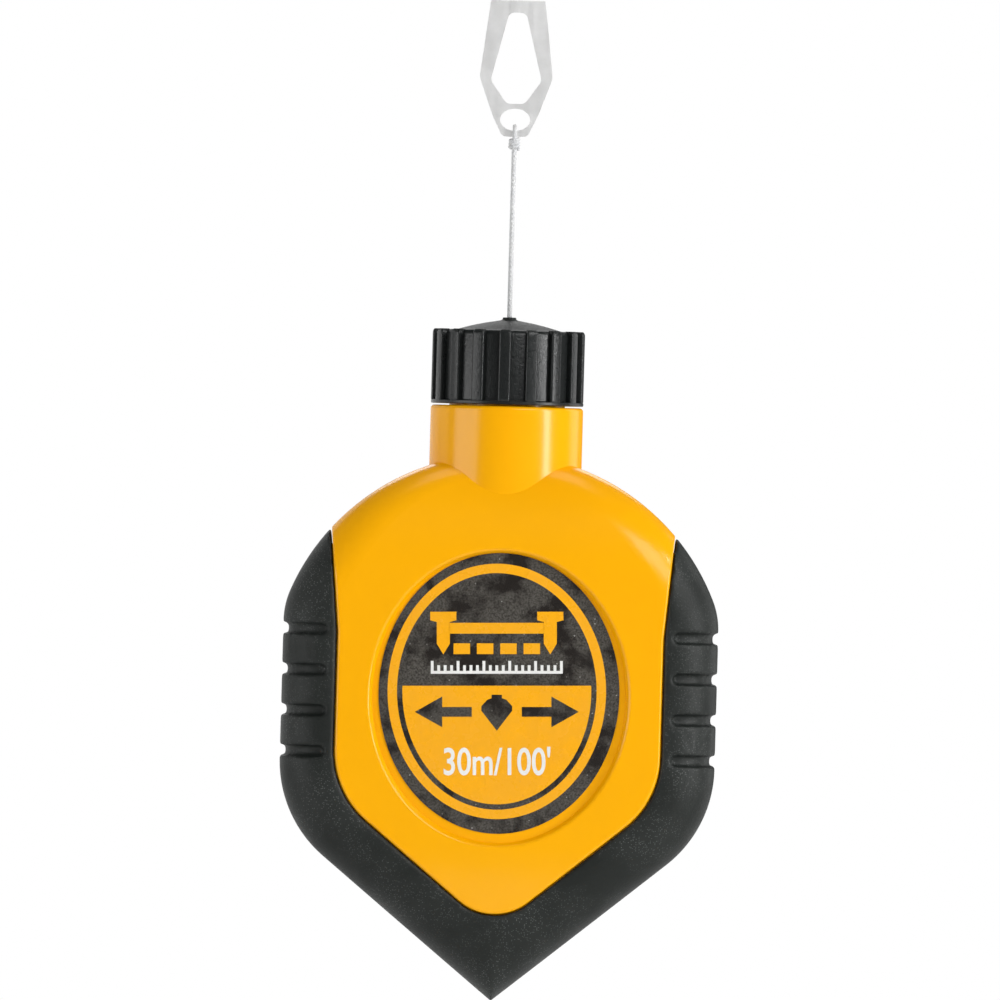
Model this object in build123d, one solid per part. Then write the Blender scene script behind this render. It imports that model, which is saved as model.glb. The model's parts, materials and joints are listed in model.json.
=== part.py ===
"""Chalk line reel: a plumb-shaped two-shell casing with a rubber grip band, a screw cap that the line comes
out of, a spool with a folding crank at the back, and a stamped hook tied to the line.

Heights below are counted from the casing's tip. +Z runs up along the line, the label faces -Y and the crank
is at +Y. The origin of the finished part is at the top of the hook's window, where the reel hangs.
"""

from build123d import *
import math
import os

# ---- overall sizes, mm ----
HANG_HEIGHT = 173.8  # top of the hook's window above the tip
HALF_WIDTH = 38.3
HALF_DEPTH = 16.5

# ---- casing outline ----
TIP_ANGLE = 50.66  # each lower side, from the upright
TIP_DROP = 0.47  # the sharp corner lies this far under the blunted tip
BELLY_R = 22.0
CHEST_R = 14.0
SHOULDER_R = 40.3
SHOULDER_HEIGHT = 55.6  # centre of the shoulder's round
EDGE_R = 8.0

# ---- casing side profile ----
KEEL_START = 26.0  # the faces lean in below this height
KEEL_R = 70.0
DOME_START = 76.0  # and above this one
DOME_R = 28.4
PROFILE_LOW = -3.0
PROFILE_TOP = 96.5

# ---- walls ----
GRIP_T = 2.0
WALL_T = 2.4
SEAM_W = 0.5
SEAM_DEPTH = 0.35
PANEL_SKIRT = 3.0  # the panel's wall where it meets the grip band

# ---- yellow panel inside the grip band ----
PANEL_TIP = 12.2
PANEL_HALF_W = 28.6
PANEL_FLARE_START = 64.0
PANEL_FLARE = 0.0886
PANEL_TIP_R = 9.5
PANEL_CORNER_R = 16.0
PANEL_GAP = 0.25
PANEL_EDGE_R = 0.5

# ---- grip grooves ----
GROOVE_LOW = 42.8
GROOVE_PITCH = 7.17
GROOVE_COUNT = 4
GROOVE_H = 2.0
GROOVE_DEPTH = 1.0
GROOVE_INNER = 30.4
GROOVE_PAST = 6.0  # how far a groove runs on past the side wall

# ---- label recess ----
LABEL_HEIGHT = 53.0
RECESS_A = 22.9
RECESS_B = 26.1
RECESS_DEPTH = 1.2
RECESS_SLOPE = 0.6
RECESS_START = 0.4  # the cut begins this far in front of the panel
RECESS_EDGE_R = 0.5
LABEL_A = 21.15
LABEL_B = 24.66
LABEL_RISE = 0.8
LABEL_T = 0.15

# ---- neck and thread ----
NECK_R = 13.45
NECK_TOP = 104.3
NECK_EDGE_R = 0.6
SPIGOT_R = 10.2
SPIGOT_TOP = 114.8
MOUTH_R = 8.4
THROAT_R = 10.4
THROAT_LOW = 84.0  # above the wall of the crank's dish
THROAT_TOP = 100.5
MOUTH_LOW = 103.5
THREAD_PITCH = 4.0
THREAD_START = 107.0
SPIGOT_TURNS = 1.5
CAP_TURNS = 1.25
RIDGE_H = 0.9
RIDGE_ROOT = 1.8
RIDGE_CREST = 1.1
RIDGE_SUNK = 0.3  # how deep a ridge's root lies in its wall

# ---- screw cap ----
CAP_LOW = 104.6
CAP_TOP = 117.7
CAP_CEILING = 116.0
CAP_BORE_R = 11.55
CAP_RIB_DEPTH = 1.0
CAP_RIBS = 17
CAP_RIB_W = 2.06
CAP_RIB_TURN = -2.8
CAP_FLANGE_H = 0.65
CAP_CHAMFER = 0.5
CAP_CONE_R = 8.0
CAP_EXIT = 120.0
CAP_NUB_R = 1.2
CAP_NUB_H = 0.4
CAP_HOLE_R = 0.75
GASKET_INNER_R = 8.5
GASKET_R = 11.0
LINER_GAP = 0.05

# ---- felt wiper in the cap ----
FELT_R = 4.4
FELT_LOW = 112.8
FELT_TOP = 115.4
FELT_BORE_R = 0.7
RETAINER_R = 6.0
RETAINER_STEP_R = 5.2
RETAINER_LOW = 112.0
RETAINER_STEP = 113.0
RETAINER_TOP = 115.7
RETAINER_HOLE_R = 2.2
COLLAR_INNER_R = 6.15
COLLAR_R = 7.3
COLLAR_LIP_R = 5.35
COLLAR_LOW = 112.3
COLLAR_LIP_TOP = 112.85

# ---- spool ----
REEL_HEIGHT = 53.5
SPOOL_R = 27.0
SPOOL_FRONT = -12.8
SPOOL_BACK = 4.2
FLANGE_T = 1.5
BARREL_R = 8.0
WINDING_R = 24.2
WINDING_GAP = 0.1
POCKET_R = 27.8
POCKET_FRONT = -13.6
STUB_R = 4.0
STUB_CLEAR = 0.05
STUB_END = -8.0
STUB_ROOT = -14.4  # inside the casing's front wall
STUB_COLLAR = 1.5  # the stub's collar stands out this far and spaces the spool from the shell
SPOOL_GAP = 0.3
SPOOL_BORE_END = -7.5
SPOOL_SCREW_END = -6.5
WINDING_EDGE_R = 1.0
NOTCH_COUNT = 12
NOTCH_R = 1.6

# ---- crank dish in the rear shell ----
DISH_R = 26.5
DISH_WALL = 1.8
DISH_FLOOR = 7.0
FLOOR_INNER = 4.8

# ---- crank ----
JOURNAL_R = 4.5
JOURNAL_CLEAR = 0.05
DRIVE_SQUARE = 6.0
DRIVE_CLEAR = 0.1
DRIVE_END = -3.0
HUB_EDGE_R = 0.8
HUB_R = 9.5
HUB_LOW = 7.6
HUB_TOP = 16.8
SEAL_INNER_R = 4.8
SEAL_R = 8.0
SEAL_BACK = 7.5
ARM_UNDER = 17.2
ARM_T = 3.0
ARM_HALF_W = 4.4
FOLD_OFFSET = 7.0  # the fold pin above the reel's axis
KNOB_OFFSET = 20.0  # the stored knob below the reel's axis
FOLD_PIN_R = 1.0
FOLD_PIN_CLEAR = 0.06
EAR_T = 1.8
EAR_GAP = 0.3
EAR_R = 1.8
EAR_ROOT = 2.0  # how deep the ears' webs reach into the hub
KNUCKLE_R = 1.5
ARM_EDGE_R = 0.7
KNOB_R = 5.0
KNOB_BASE = 8.0
KNOB_TOP = 16.9
KNOB_RIM = 2.4  # height of the wide rim
KNOB_CHAMFER = 1.0
KNOB_WAIST_R = 3.8
KNOB_WAIST_H = 5.0
KNOB_SHOULDER_R = 4.6
KNOB_HEAD_SINK = 0.2
KNOB_PIN_R = 1.5
KNOB_PIN_CLEAR = 0.06
KNOB_HEAD_R = 2.6
KNOB_HEAD_T = 0.7
KNOB_HEAD_CLEAR = 0.2
PIN_PROUD = 0.3
CRANK_SCREW_R = 1.4
CRANK_HEAD_R = 2.8
CRANK_HEAD_TOP = 16.2
CRANK_HEAD_T = 1.8
CRANK_SCREW_END = -6.0
WASHER_R = 3.3
WASHER_T = 0.5
WASHER_POCKET_R = 3.6

# ---- screws ----
SCREW_DOME_R = 0.6
SCREW_POINT = 0.5
CROSS_W = 0.7
CROSS_LEN = 3.0
CROSS_DEPTH = 1.0
SCREW_PLACES = [(-20.5, 80.0), (20.5, 80.0), (0.0, 22.0)]
BOSS_R = 3.4
BOSS_SINK = 0.2  # the bosses reach this far into the wall
SCREW_R = 1.4
SCREW_HOLE_R = 1.45
SCREW_PASS_R = 1.65
SCREW_HEAD_R = 2.8
SCREW_HEAD_BACK = 14.6
SCREW_HEAD_T = 1.8
SCREW_END = -9.5
COUNTERBORE_R = 3.1
COUNTERBORE_FLOOR = 12.8

# ---- line, knot and hook ----
LINE_R = 0.45
LINE_BEND_HEIGHT = 110.0
LINE_CLEAR = 0.15
LINE_BEND_SHARE = 0.45  # of the upright stretch that the bend takes up
KNOT_SINK = 0.15  # the line's end lies this far in the knot
LOOP_R = 1.3
LOOP_HEIGHT = 152.4
KNOT_R = 1.1
KNOT_HEIGHT = 150.4
HOOK_T = 1.2
HOOK_LOW = 151.9
HOOK_LOW_HALF_W = 2.2
HOOK_LOW_R = 1.2
HOOK_TOP = 175.9
HOOK_TOP_HALF_W = 4.8
HOOK_WIDE_HALF_W = 6.45
HOOK_WIDE_HEIGHT = 162.3
HOOK_WIDE_R = 3.0
HOOK_WAIST_HALF_W = 4.0
HOOK_WAIST_HEIGHT = 155.6
HOOK_WAIST_R = 2.5
WINDOW_LOW = 157.7
WINDOW_LOW_HALF_W = 1.6
WINDOW_WIDE = 161.8
WINDOW_HALF_W = 4.5
WINDOW_TOP_HALF_W = 1.5
WINDOW_TOP_R = 1.2
WINDOW_R = 1.5
EYE_LOW = 152.95
EYE_TOP = 156.85
EYE_HALF_W = 2.65
CLAW_LEN = 5.5
CLAW_R = 1.2

FAR = 80.0  # reaches past the casing on every side
NEAR = 1e-3  # two things closer than this touch
RIM_SLACK = 0.02


def place(height, depth=0.0, across=0.0):
    """An upright plane at this point: shapes drawn on it are extruded towards +Y."""
    return Plane(origin=(across, depth, height), x_dir=(1, 0, 0), z_dir=(0, 1, 0))


def disc(radius, back, front, height=REEL_HEIGHT, across=0.0):
    """A cylinder along Y from the depth `front` to the depth `back`."""
    return extrude(place(height, front, across) * Circle(radius), amount=back - front)


def post(radius, low, top):
    """A cylinder about the line's axis."""
    return Pos(0, 0, low) * Cylinder(radius, top - low, align=(Align.CENTER, Align.CENTER, Align.MIN))


def half_space(sign):
    """Everything in front of (-1) or behind (+1) the parting plane."""
    return Pos(0, sign * FAR, FAR / 2) * Box(4 * FAR, 2 * FAR, 5 * FAR)


def corner_points(face, across, height):
    """The face's two mirrored vertices at this distance from the middle and this height."""
    return [
        v for v in face.vertices()
        if abs(abs(v.X) - across) < 1e-4 and abs(v.Y - height) < 1e-4
    ]


def outline(inset):
    """The casing's front outline, moved inwards by `inset`."""
    tip = inset / math.sin(math.radians(TIP_ANGLE)) - TIP_DROP
    across = HALF_WIDTH - inset
    radius = SHOULDER_R - inset
    belly = tip + across / math.tan(math.radians(TIP_ANGLE))
    chest = SHOULDER_HEIGHT + math.sqrt(radius**2 - across**2)
    side = [(0, tip), (across, belly), (across, chest)]
    right = Polyline(*side)
    left = Polyline(*[(-x, z) for x, z in side])
    top = ThreePointArc((across, chest), (0, SHOULDER_HEIGHT + radius), (-across, chest))
    face = make_face(Curve() + [right, left, top])
    face = fillet(corner_points(face, across, belly), BELLY_R - inset)
    return fillet(corner_points(face, across, chest), CHEST_R - inset)


def side_profile(inset):
    """The casing's side view: flat faces that lean in towards the tip and the neck."""
    flat = HALF_DEPTH - inset
    keel = KEEL_R - inset
    dome = DOME_R - inset

    def depth(height):
        if height < KEEL_START:
            return flat - keel + math.sqrt(keel**2 - (KEEL_START - height) ** 2)
        return flat - dome + math.sqrt(dome**2 - (height - DOME_START) ** 2)

    keel_mid = (PROFILE_LOW + KEEL_START) / 2
    dome_mid = (PROFILE_TOP + DOME_START) / 2
    back = [
        ThreePointArc((depth(PROFILE_LOW), PROFILE_LOW), (depth(keel_mid), keel_mid), (flat, KEEL_START)),
        Line((flat, KEEL_START), (flat, DOME_START)),
        ThreePointArc((flat, DOME_START), (depth(dome_mid), dome_mid), (depth(PROFILE_TOP), PROFILE_TOP)),
    ]
    front = [piece.mirror(Plane.YZ) for piece in back]
    ends = [Line((depth(z), z), (-depth(z), z)) for z in (PROFILE_LOW, PROFILE_TOP)]
    return make_face(Curve() + back + front + ends)


def runs_along_edge(edge):
    """True for the edges between a casing face and its side wall."""
    start = edge @ 0
    end = edge @ 1
    middle = edge @ 0.5
    if abs(start.Y - end.Y) > abs(start.X - end.X) + abs(start.Z - end.Z):
        return False
    level = abs(start.Z - end.Z) < 1e-6 and abs(middle.Z - start.Z) < 1e-6
    return not (level and start.X * end.X < 0)


def pillow(inset):
    """The casing's rounded block, moved inwards by `inset` on every side."""
    front_view = extrude(Plane.XZ * outline(inset), amount=HALF_DEPTH + 1, both=True)
    side_view = extrude(Plane.YZ * side_profile(inset), amount=FAR, both=True)
    block = front_view & side_view
    return fillet([e for e in block.edges() if runs_along_edge(e)], EDGE_R - inset)


def panel_prism(inset):
    """The yellow panel's outline through the whole depth, moved inwards by `inset`."""
    lean = math.radians(TIP_ANGLE)
    tip = PANEL_TIP + inset / math.sin(lean)
    across = PANEL_HALF_W - inset
    corner = tip + across / math.tan(lean)
    top = 2 * FAR
    flare = across + PANEL_FLARE * (top - PANEL_FLARE_START)
    side = [(0, tip), (across, corner), (across, PANEL_FLARE_START), (flare, top)]
    face = make_face(Polyline(*side, *[(-x, z) for x, z in reversed(side[1:])], close=True))
    face = fillet(corner_points(face, 0, tip), PANEL_TIP_R - min(inset, 0) * 0.5)
    face = fillet(corner_points(face, across, corner), PANEL_CORNER_R - inset)
    return extrude(Plane.XZ * face, amount=FAR, both=True)


def raised_panel():
    """The casing between the grip bands: rounded where it meets them, with the label's recess in front."""
    prism = panel_prism(0)
    walls = prism.faces()
    block = pillow(0) & prism
    outline = [e for e in block.edges() if runs_round_panel(e)]
    rim = [e for e in outline if min(w.distance_to(e @ 0.5) for w in walls) < NEAR]
    block = fillet(rim, PANEL_EDGE_R) - label_recess()
    mouth = [e for e in block.edges() if on_recess_rim(e @ 0.5)]
    return fillet(mouth, RECESS_EDGE_R)


def runs_round_panel(edge):
    """True for an edge that goes round the panel rather than from its front to its back."""
    run = (edge @ 1) - (edge @ 0)
    return abs(run.Y) < 0.9 * run.length


def on_recess_rim(point):
    """True for a point on the oval where the recess meets the panel."""
    share = (point.X / RECESS_A) ** 2 + ((point.Z - LABEL_HEIGHT) / RECESS_B) ** 2
    return abs(point.Y + HALF_DEPTH) < RECESS_START and abs(share - 1) < RIM_SLACK


def helix_ridge(radius, start, turns, outward):
    """A thread ridge that winds up from the height `start`, on a wall of this radius."""
    path = Helix(THREAD_PITCH, turns * THREAD_PITCH, radius, center=(0, 0, start))
    side = 1 if outward else -1
    sunk = -RIDGE_SUNK * side
    crest = RIDGE_H * side
    section = Plane(origin=path @ 0, x_dir=(1, 0, 0), z_dir=path % 0) * Polyline(
        (sunk, -RIDGE_ROOT / 2),
        (crest, -RIDGE_CREST / 2),
        (crest, RIDGE_CREST / 2),
        (sunk, RIDGE_ROOT / 2),
        close=True,
    )
    return sweep(make_face(section), path=path, is_frenet=True)


def neck_outside():
    """The neck and the threaded spigot that the cap screws onto."""
    neck = post(NECK_R, DOME_START, NECK_TOP)
    neck = fillet(neck.edges().sort_by(Axis.Z)[-1], NECK_EDGE_R)
    spigot = post(SPIGOT_R, DOME_START, SPIGOT_TOP)
    return neck + spigot + helix_ridge(SPIGOT_R, THREAD_START, SPIGOT_TURNS, outward=True)


def neck_inside():
    """The fill mouth, widening to the throat below it."""
    profile = [
        (0, THROAT_LOW),
        (THROAT_R, THROAT_LOW),
        (THROAT_R, THROAT_TOP),
        (MOUTH_R, MOUTH_LOW),
        (MOUTH_R, SPIGOT_TOP + 1),
        (0, SPIGOT_TOP + 1),
    ]
    return revolve(Plane.XZ * make_face(Polyline(*profile, close=True)), Axis.Z)


def grip_grooves(depth):
    """The finger grooves of both sides, as one tool cut from the grip's surface."""
    slots = Part()
    length = HALF_WIDTH - GROOVE_INNER + GROOVE_PAST
    for i in range(GROOVE_COUNT):
        for side in (-1, 1):
            middle = side * (GROOVE_INNER + length / 2)
            height = GROOVE_LOW + i * GROOVE_PITCH
            place_at = Plane(origin=(middle, 0, height), x_dir=(1, 0, 0), z_dir=(0, -1, 0))
            slots += extrude(place_at * SlotOverall(length, GROOVE_H), amount=FAR, both=True)
    return slots - pillow(depth)


def label_recess():
    """The oval recess with a sloping wall that holds the label."""
    wide = RECESS_SLOPE * RECESS_START / RECESS_DEPTH
    start = place(LABEL_HEIGHT, -HALF_DEPTH - RECESS_START) * Ellipse(RECESS_A + wide, RECESS_B + wide)
    floor = place(LABEL_HEIGHT, RECESS_DEPTH - HALF_DEPTH) * Ellipse(
        RECESS_A - RECESS_SLOPE, RECESS_B - RECESS_SLOPE
    )
    return loft([start, floor], ruled=True)


def seam_groove():
    """A fine groove round the parting line of the shells and their neck."""
    band = Pos(0, 0, FAR / 2) * Box(4 * FAR, SEAM_W, 4 * FAR)
    return band - pillow(SEAM_DEPTH) - post(NECK_R - SEAM_DEPTH, DOME_START, SPIGOT_TOP)


def shell_solid():
    """Both shells as one hollow body, before they part at the middle."""
    outer = pillow(GRIP_T) + raised_panel() + neck_outside()
    hollow = pillow(GRIP_T + WALL_T)
    hollow += pillow(WALL_T) & panel_prism(PANEL_SKIRT)
    hollow += disc(POCKET_R, FLOOR_INNER, POCKET_FRONT)
    hollow += neck_inside()
    return outer - hollow


def front_shell(shells):
    """The front half, with its axle stub and screw bosses."""
    half = shells & half_space(-1)
    block = pillow(WALL_T - BOSS_SINK) & half_space(-1)
    for across, height in SCREW_PLACES:
        half += disc(BOSS_R, 0, -HALF_DEPTH, height, across) & block
    half += disc(STUB_R, STUB_END, STUB_ROOT)
    half += disc(STUB_R + STUB_COLLAR, SPOOL_FRONT - SPOOL_GAP, STUB_ROOT)
    for across, height in SCREW_PLACES:
        half -= disc(SCREW_HOLE_R, 1, SCREW_END - 1, height, across)
    return half - neck_inside()


def rear_shell(shells):
    """The rear half, with the dish that the folded crank lies in and the screws' counterbores."""
    half = shells & half_space(1)
    block = pillow(WALL_T - BOSS_SINK) & half_space(1)
    half += disc(DISH_R + DISH_WALL, HALF_DEPTH, FLOOR_INNER) & pillow(BOSS_SINK)
    for across, height in SCREW_PLACES:
        half += disc(BOSS_R, HALF_DEPTH, 0, height, across) & block
    half -= disc(DISH_R, FAR, DISH_FLOOR)
    half -= disc(JOURNAL_R + JOURNAL_CLEAR, FAR, 0)
    for across, height in SCREW_PLACES:
        half -= disc(SCREW_PASS_R, FAR, -1, height, across)
        half -= disc(COUNTERBORE_R, FAR, COUNTERBORE_FLOOR, height, across)
    return half - neck_inside()


def grip(sign):
    """The soft band over one half of the casing, with its finger grooves."""
    band = (pillow(0) - pillow(GRIP_T)) - panel_prism(-PANEL_GAP)
    return (band - grip_grooves(GROOVE_DEPTH)) & half_space(sign)


def front_label():
    """The printed oval sticker on the floor of its recess."""
    base = place(LABEL_HEIGHT + LABEL_RISE)
    sticker = extrude(base * Ellipse(LABEL_A, LABEL_B), amount=-LABEL_T)
    return Pos(0, RECESS_DEPTH - HALF_DEPTH, 0) * sticker


def pan_screw(head_back, end, shank_r, head_r, height, across=0.0):
    """A pan-head screw along Y with a cross recess in its head."""
    head = disc(head_r, head_back, head_back - SCREW_HEAD_T, height, across)
    head = fillet(head.edges().sort_by(Axis.Y)[-1], SCREW_DOME_R)
    shank = disc(shank_r, head_back - SCREW_HEAD_T, end, height, across)
    shank = chamfer(shank.edges().sort_by(Axis.Y)[0], SCREW_POINT)
    upright = Pos(across, head_back, height) * Box(CROSS_W, 2 * CROSS_DEPTH, CROSS_LEN)
    level = Pos(across, head_back, height) * Box(CROSS_LEN, 2 * CROSS_DEPTH, CROSS_W)
    return head + shank - upright - level


def casing_screws():
    """The screws that hold the two shells together."""
    return Compound(
        [
            pan_screw(SCREW_HEAD_BACK, SCREW_END, SCREW_R, SCREW_HEAD_R, height, across).solid()
            for across, height in SCREW_PLACES
        ]
    )


def screw_cap():
    """The ribbed cap: skirt, shallow cone, line hole, inner thread and wiper collar."""
    core_r = NECK_R - CAP_RIB_DEPTH
    profile = [
        (CAP_HOLE_R, CAP_CEILING),
        (CAP_BORE_R, CAP_CEILING),
        (CAP_BORE_R, CAP_LOW),
        (NECK_R, CAP_LOW),
        (NECK_R, CAP_LOW + CAP_FLANGE_H),
        (core_r, CAP_LOW + CAP_FLANGE_H),
        (core_r, CAP_TOP - CAP_CHAMFER),
        (core_r - CAP_CHAMFER, CAP_TOP),
        (CAP_CONE_R, CAP_TOP),
        (CAP_NUB_R, CAP_EXIT - CAP_NUB_H),
        (CAP_NUB_R, CAP_EXIT),
        (CAP_HOLE_R, CAP_EXIT),
    ]
    cap = revolve(Plane.XZ * make_face(Polyline(*profile, close=True)), Axis.Z)
    rib = Pos(0, -core_r, CAP_LOW) * Box(
        CAP_RIB_W, 2 * CAP_RIB_DEPTH, CAP_TOP - CAP_LOW, align=(Align.CENTER, Align.CENTER, Align.MIN)
    )
    skin = post(NECK_R, CAP_LOW, CAP_TOP)
    skin = chamfer(skin.edges().sort_by(Axis.Z)[-1], CAP_CHAMFER)
    rib = (rib & skin) - post(core_r - RIDGE_SUNK, CAP_LOW, CAP_TOP)
    for i in range(CAP_RIBS):
        cap += Rot(0, 0, CAP_RIB_TURN + i * 360 / CAP_RIBS) * rib
    collar = post(COLLAR_R, COLLAR_LOW, CAP_CEILING) - post(COLLAR_INNER_R, COLLAR_LOW, CAP_CEILING)
    collar += post(COLLAR_R, COLLAR_LOW, COLLAR_LIP_TOP) - post(COLLAR_LIP_R, COLLAR_LOW, COLLAR_LIP_TOP)
    thread = Rot(0, 0, 180) * helix_ridge(CAP_BORE_R, THREAD_START, CAP_TURNS, outward=False)
    return cap + collar + thread


def ring(outer_r, inner_r, low, top):
    """A plain ring about the line's axis."""
    return post(outer_r, low, top) - post(inner_r, low, top)


def wiper_retainer():
    """The stepped cup that holds the felt under the cap's line hole."""
    cup = post(RETAINER_R, RETAINER_STEP, RETAINER_TOP) + post(RETAINER_STEP_R, RETAINER_LOW, RETAINER_TOP)
    return cup - post(FELT_R, FELT_LOW, RETAINER_TOP) - post(RETAINER_HOLE_R, RETAINER_LOW, RETAINER_TOP)


def spool():
    """The reel the line is wound on: a barrel between two flanges with notched rims."""
    body = disc(BARREL_R, SPOOL_BACK, SPOOL_FRONT)
    body += disc(SPOOL_R, SPOOL_FRONT + FLANGE_T, SPOOL_FRONT)
    body += disc(SPOOL_R, SPOOL_BACK, SPOOL_BACK - FLANGE_T)
    for i in range(NOTCH_COUNT):
        turn = math.radians((i + 0.5) * 360 / NOTCH_COUNT)
        across = SPOOL_R * math.cos(turn)
        height = REEL_HEIGHT + SPOOL_R * math.sin(turn)
        body -= disc(NOTCH_R, SPOOL_BACK + 1, SPOOL_FRONT - 1, height, across)
    body -= disc(STUB_R + STUB_CLEAR, SPOOL_BORE_END, SPOOL_FRONT - 1)
    body -= disc(CRANK_SCREW_R, 0, SPOOL_SCREW_END)
    socket = place(REEL_HEIGHT, DRIVE_END) * Rectangle(DRIVE_SQUARE, DRIVE_SQUARE)
    return body - extrude(socket, amount=SPOOL_BACK - DRIVE_END + 1)


def line_winding():
    """The wound line: a closed ring that fills the spool."""
    front = SPOOL_FRONT + FLANGE_T + WINDING_GAP
    back = SPOOL_BACK - FLANGE_T - WINDING_GAP
    wound = disc(WINDING_R, back, front)
    wound = fillet(wound.edges(), WINDING_EDGE_R)
    return wound - disc(BARREL_R, back, front)


def crank_hub():
    """The hub outside the dish's floor, with its journal, square drive and the ears of the fold pin."""
    hub = disc(HUB_R, HUB_TOP, HUB_LOW)
    hub = fillet(hub.edges().sort_by(Axis.Y)[-1], HUB_EDGE_R)
    hub += disc(JOURNAL_R, HUB_LOW, SPOOL_BACK)
    square = DRIVE_SQUARE - DRIVE_CLEAR
    drive = place(REEL_HEIGHT, DRIVE_END + DRIVE_CLEAR) * Rectangle(square, square)
    hub += extrude(drive, amount=SPOOL_BACK - DRIVE_END)
    for side in (-1, 1):
        hub += fold_ear(side) & disc(HUB_R, FAR, HUB_LOW)
    hub -= fold_axle(FOLD_PIN_R, FAR)
    hub -= disc(WASHER_POCKET_R, FAR, CRANK_HEAD_TOP - CRANK_HEAD_T - WASHER_T)
    return hub - disc(SCREW_HOLE_R, FAR, DRIVE_END - 1)


def fold_axle(radius, width):
    """A cylinder on the axis that the crank folds about, centred on the reel."""
    centre = Pos(0, ARM_UNDER + ARM_T / 2, REEL_HEIGHT + FOLD_OFFSET)
    return centre * Rot(0, 90, 0) * Cylinder(radius, width)


def fold_ear(side):
    """One of the two ears that stand out of the hub and hold the fold pin."""
    middle = side * (ARM_HALF_W + EAR_GAP + EAR_T / 2)
    fold_y = ARM_UNDER + ARM_T / 2
    depth = fold_y - HUB_TOP + EAR_ROOT
    web = Pos(middle, fold_y - depth / 2, REEL_HEIGHT + FOLD_OFFSET) * Box(EAR_T, depth, 2 * EAR_R)
    return Pos(middle, 0, 0) * fold_axle(EAR_R, EAR_T) + web


def crank_screw():
    """The screw that draws the hub onto the spool."""
    return pan_screw(CRANK_HEAD_TOP, CRANK_SCREW_END, CRANK_SCREW_R, CRANK_HEAD_R, REEL_HEIGHT)


def hub_washer():
    """The washer under the crank screw's head."""
    top = CRANK_HEAD_TOP - CRANK_HEAD_T
    return disc(WASHER_R, top, top - WASHER_T) - disc(SCREW_HOLE_R, top, top - WASHER_T)


def hub_seal():
    """The felt ring that keeps chalk from the crank's journal."""
    return disc(SEAL_R, SEAL_BACK, DISH_FLOOR) - disc(SEAL_INNER_R, SEAL_BACK, DISH_FLOOR)


def fold_pin():
    """The pin that the crank arm folds on."""
    return fold_axle(FOLD_PIN_R, 2 * (ARM_HALF_W + EAR_GAP + EAR_T))


def crank_arm():
    """The flat arm from the fold pin to the knob, rounded at both ends."""
    fold_height = REEL_HEIGHT + FOLD_OFFSET
    knob_height = REEL_HEIGHT - KNOB_OFFSET
    middle = Pos(0, ARM_UNDER + ARM_T / 2, (fold_height + knob_height) / 2)
    plate = middle * Box(2 * ARM_HALF_W, ARM_T, fold_height - knob_height)
    plate += disc(KNOB_R, ARM_UNDER + ARM_T, ARM_UNDER, knob_height)
    plate = fillet(plate.faces().sort_by(Axis.Y)[-1].edges(), ARM_EDGE_R)
    plate += fold_axle(KNUCKLE_R, 2 * ARM_HALF_W)
    plate -= fold_axle(FOLD_PIN_R + FOLD_PIN_CLEAR, 4 * ARM_HALF_W)
    return plate - disc(KNOB_PIN_R, FAR, 0, knob_height)


def knob_pin():
    """The rivet that the knob turns on, fixed in the arm."""
    knob_height = REEL_HEIGHT - KNOB_OFFSET
    low = KNOB_BASE + KNOB_HEAD_SINK
    pin = disc(KNOB_PIN_R, ARM_UNDER + ARM_T + PIN_PROUD, low, knob_height)
    return pin + disc(KNOB_HEAD_R, low + KNOB_HEAD_T, low, knob_height)


def crank_knob():
    """The turning knob, waisted so that two fingers hold it."""
    profile = [
        (0, KNOB_BASE),
        (KNOB_R - KNOB_CHAMFER, KNOB_BASE),
        (KNOB_R, KNOB_BASE + KNOB_CHAMFER),
        (KNOB_R, KNOB_BASE + KNOB_RIM),
        (KNOB_WAIST_R, KNOB_BASE + KNOB_WAIST_H),
        (KNOB_SHOULDER_R, KNOB_TOP),
        (0, KNOB_TOP),
    ]
    knob_height = REEL_HEIGHT - KNOB_OFFSET
    knob = Pos(0, 0, knob_height) * revolve(make_face(Polyline(*profile, close=True)), Axis.Y)
    knob -= disc(KNOB_PIN_R + KNOB_PIN_CLEAR, FAR, 0, knob_height)
    recess_back = KNOB_BASE + KNOB_HEAD_SINK + KNOB_HEAD_T + KNOB_HEAD_CLEAR
    return knob - disc(KNOB_HEAD_R + KNOB_HEAD_CLEAR, recess_back, 0, knob_height)


def line_inner():
    """The line from the winding, through the felt, to the cap's hole."""
    radius = WINDING_R + LINE_R + LINE_CLEAR
    rise = LINE_BEND_HEIGHT - REEL_HEIGHT
    swing = math.acos(radius / rise)
    start = (
        radius * math.sin(swing),
        (SPOOL_FRONT + SPOOL_BACK) / 2,
        REEL_HEIGHT + radius * math.cos(swing),
    )
    bend = (0, 0, LINE_BEND_HEIGHT)
    exit_point = (0, 0, CAP_EXIT)
    turn = (Vector(*bend) - Vector(*start)).get_angle(Vector(0, 0, 1))
    bend_r = LINE_BEND_SHARE * (CAP_EXIT - LINE_BEND_HEIGHT) / math.tan(math.radians(turn / 2))
    path = FilletPolyline(start, bend, exit_point, radius=[bend_r])
    return sweep(Plane(origin=path @ 0, z_dir=path % 0) * Circle(LINE_R), path=path)


def line_free():
    """The taut line from the cap's hole to the knot."""
    return post(LINE_R, CAP_EXIT, KNOT_HEIGHT - KNOT_R + KNOT_SINK)


def line_knot():
    """The knot and the loop that passes through the hook's eye."""
    knot = Pos(0, 0, KNOT_HEIGHT) * Sphere(KNOT_R)
    loop = Pos(0, 0, LOOP_HEIGHT) * Rot(0, 90, 0) * Torus(LOOP_R, LINE_R)
    return (knot + loop) - post(LINE_R, KNOT_HEIGHT - 2 * KNOT_R, KNOT_HEIGHT - KNOT_R + KNOT_SINK)


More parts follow.
